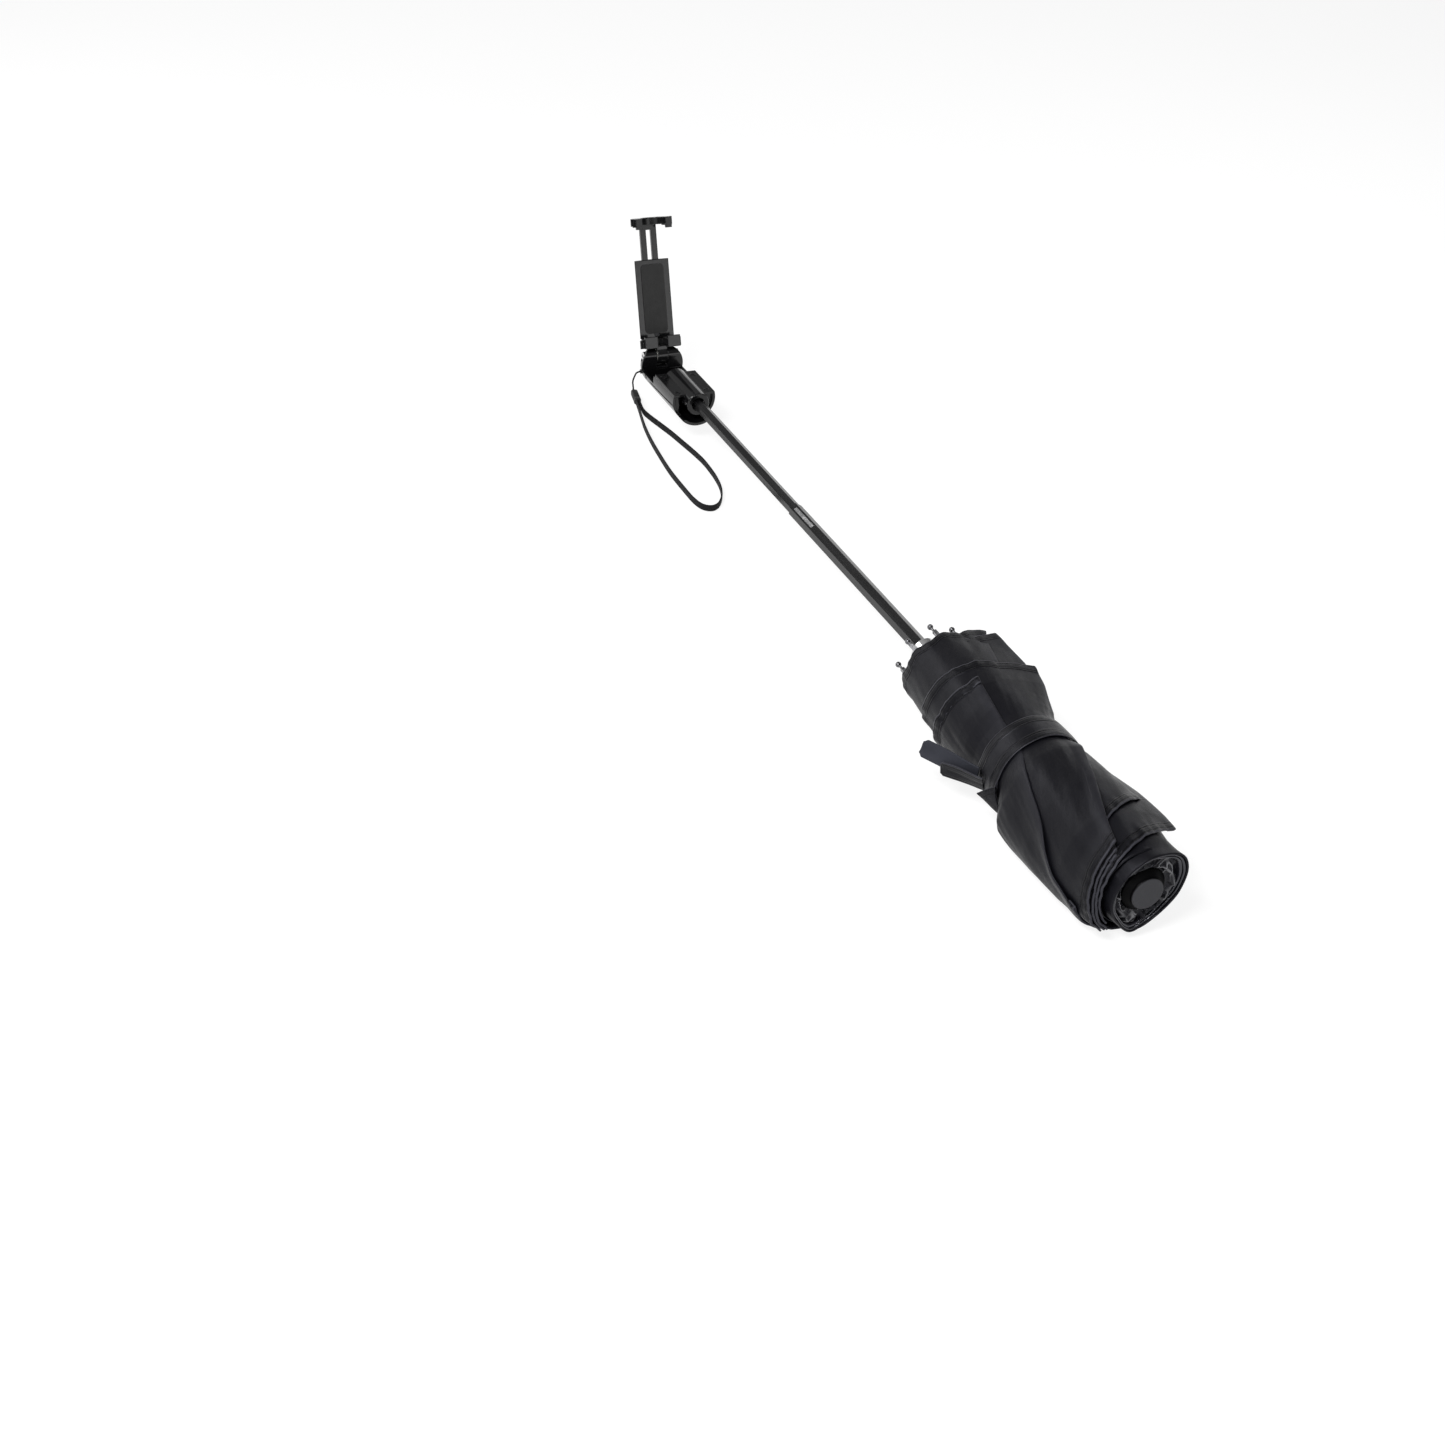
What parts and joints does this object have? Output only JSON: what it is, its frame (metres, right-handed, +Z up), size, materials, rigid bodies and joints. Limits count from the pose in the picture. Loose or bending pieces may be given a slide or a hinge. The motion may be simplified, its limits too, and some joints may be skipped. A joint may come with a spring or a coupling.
{
  "type": "selfie stick umbrella",
  "caption": "Folding umbrella, rolled and strapped, with a telescopic hexagonal shaft and a handle that opens into a spring phone clamp, so it works as a selfie stick.",
  "frame": {"origin": "on the shaft's axis inside the rolled canopy, where the hand closes on it, just below the tie strap's upper edge", "axes": "+X along the shaft from the end cap to the phone clamp, +Y along the hinge pin, +Z up, out of the handle's open front"},
  "size_m": [0.6913, 0.0813, 0.1275],
  "materials": {
    "cap_plastic": "moulded, slightly glossy",
    "frame_plastic": "moulded, matte",
    "tube_black": "black enamel, satin",
    "bright_chrome": "bright plated",
    "rib_steel": "rolled steel",
    "spring_steel": "drawn spring wire",
    "canopy_cloth": "fine woven nylon with a dull sheen",
    "strap_cloth": "woven cord",
    "sleeve_plastic": "soft moulded",
    "handle_plastic": "moulded, glossy",
    "black_screw": "blackened steel",
    "washer_plastic": "natural nylon",
    "pad_rubber": "soft, matte"
  },
  "bodies": {
    "canopy": {"ferrule_cap": "cap_plastic", "top_notch": "frame_plastic", "notch_wire": "spring_steel", "top_tube": "tube_black", "runner": "frame_plastic", "runner_collar": "bright_chrome", "runner_wire": "spring_steel", "stretchers": "rib_steel", "top_ribs": "rib_steel", "middle_ribs": "rib_steel", "tip_ribs": "rib_steel", "rib_rivets": "bright_chrome", "rib_tip_balls": "bright_chrome", "canopy_roll": "canopy_cloth", "tie_strap": "canopy_cloth", "tie_tabs": "canopy_cloth"},
    "middle": {"middle_tube": "tube_black", "tube_leaf": "spring_steel"},
    "handle": {"inner_tube": "tube_black", "handle_front": "handle_plastic", "handle_back": "handle_plastic", "handle_screws": "black_screw", "shaft_pin": "bright_chrome", "hinge_screw": "bright_chrome", "hinge_nut": "bright_chrome", "hinge_washers": "washer_plastic", "strap_cord": "strap_cloth", "strap_sleeve": "sleeve_plastic", "wrist_strap": "strap_cloth"},
    "clamp": {"clamp_body": "handle_plastic", "clamp_cover": "handle_plastic", "cover_screws": "black_screw", "rest_pad": "pad_rubber", "lower_jaw_pads": "pad_rubber", "jaw_spring": "spring_steel"},
    "jaw": {"upper_jaw": "handle_plastic", "upper_jaw_pads": "pad_rubber"}
  },
  "joints": [
    {"name": "middle_slide", "type": "slide", "parent": "canopy", "child": "middle", "axis": [1, 0, 0], "range_m": [-0.175, 0], "deforming": ["wrist_strap"]},
    {"name": "inner_slide", "type": "slide", "parent": "middle", "child": "handle", "axis": [1, 0, 0], "range_m": [-0.158, 0], "deforming": ["wrist_strap"]},
    {"name": "clamp_hinge", "type": "hinge", "parent": "handle", "child": "clamp", "pos_m": [0.53, 0, 0.006], "axis": [0, 1, 0], "range_deg": [-109, 45]},
    {"name": "jaw_slide", "type": "slide", "parent": "clamp", "child": "jaw", "axis": [0.3256, 0, 0.9455], "range_m": [-0.023, 0.007], "stiffness_N_per_m": 120, "springref_m": -0.045, "deforming": ["jaw_spring"]}
  ]
}
